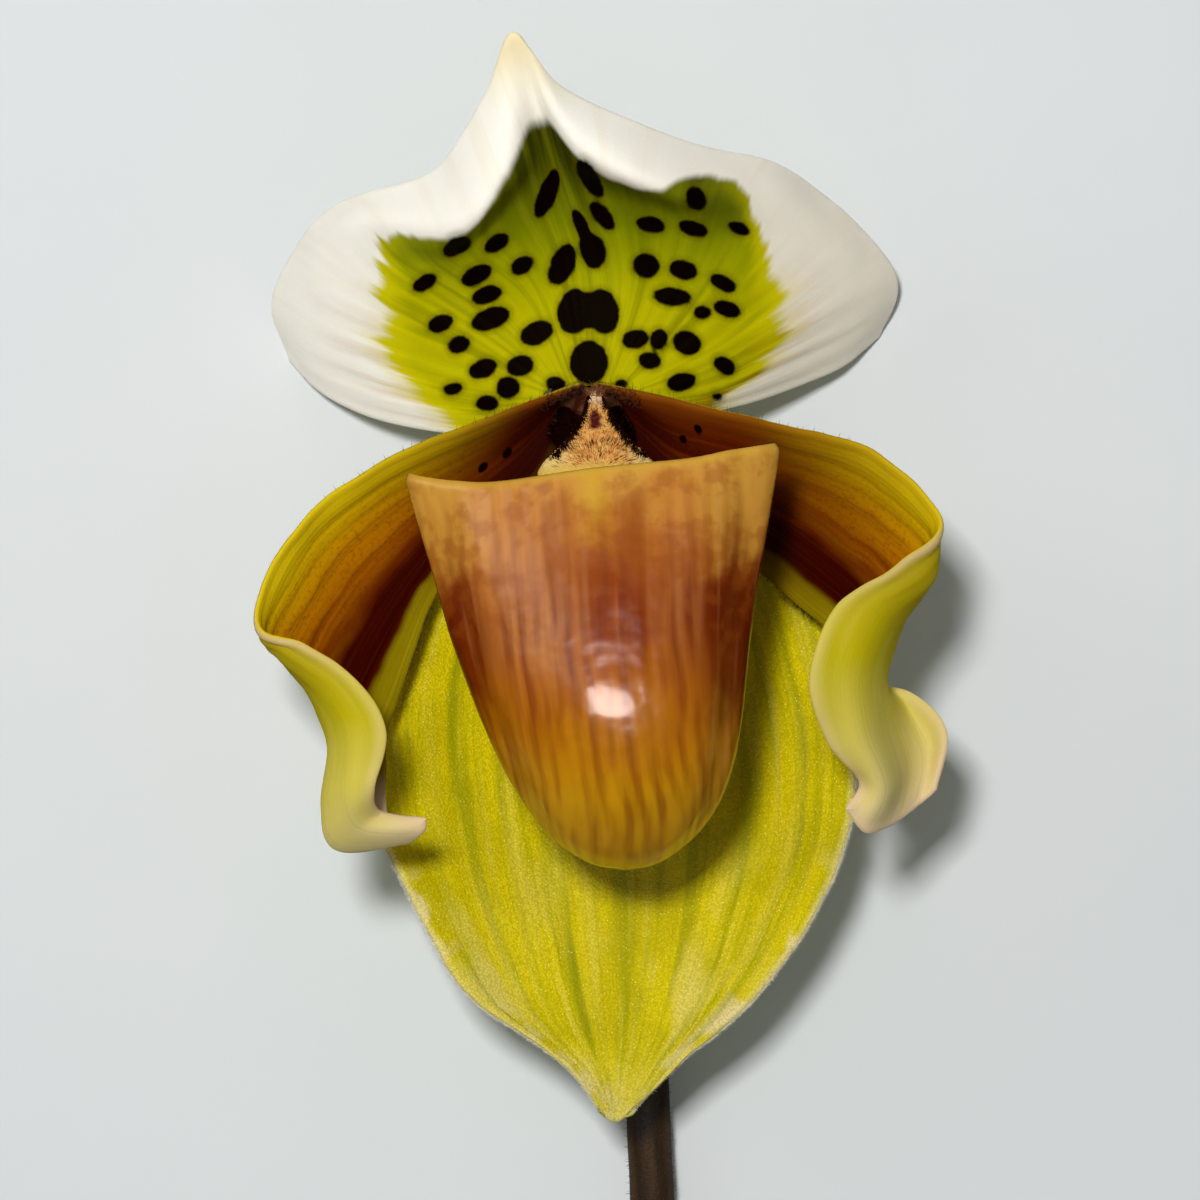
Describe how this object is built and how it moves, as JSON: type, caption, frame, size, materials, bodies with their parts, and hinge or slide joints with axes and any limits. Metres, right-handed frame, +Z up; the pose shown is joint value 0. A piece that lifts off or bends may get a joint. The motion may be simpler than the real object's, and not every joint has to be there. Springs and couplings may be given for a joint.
{
  "type": "slipper orchid flower on a cut stem",
  "caption": "Single slipper orchid bloom on a short cut stem, lying on its back: spotted upper sepal, two rolled petals, lower sepal and a hollow glossy pouch.",
  "frame": {"origin": "on the resting surface, under the middle of the bloom and its stem", "axes": "+Y along the stem towards the upper sepal, +X to the right of the flower as it is looked at, +Z up, the way the flower faces"},
  "size_m": [0.0683, 0.1703, 0.047],
  "materials": {
    "dorsal_sepal": "satin petal, white margin round a lime green centre with near-black maroon spots",
    "synsepal": "satin yellow green with darker green veins and a pale haired margin",
    "petal": "glossy orange brown with dark maroon veins, yellow green margins and a pale back",
    "pouch": "waxy gloss, tan rim, red brown middle and ochre toe with fine lengthwise veins",
    "column": "soft satin, dark maroon brown under the staminode",
    "staminode": "glistening pebbled orange tan with a dark red spot and short dark hairs",
    "anther": "dark maroon brown, hidden under long near-black hairs",
    "stigma": "matte pale green pad",
    "ovary": "ribbed brown green with dark velvet hairs",
    "bract": "papery green sheath with fine veins and maroon flecks at its base",
    "scape": "dark reddish brown stem with a fine pale down, pale where it is cut"
  },
  "bodies": {
    "root": {"dorsal_sepal": "dorsal_sepal", "synsepal": "synsepal", "petal_left": "petal", "petal_right": "petal", "pouch": "pouch", "column": "column", "staminode": "staminode", "anther_left": "anther", "anther_right": "anther", "stigma": "stigma", "ovary": "ovary", "bract": "bract", "scape": "scape"}
  },
  "joints": []
}
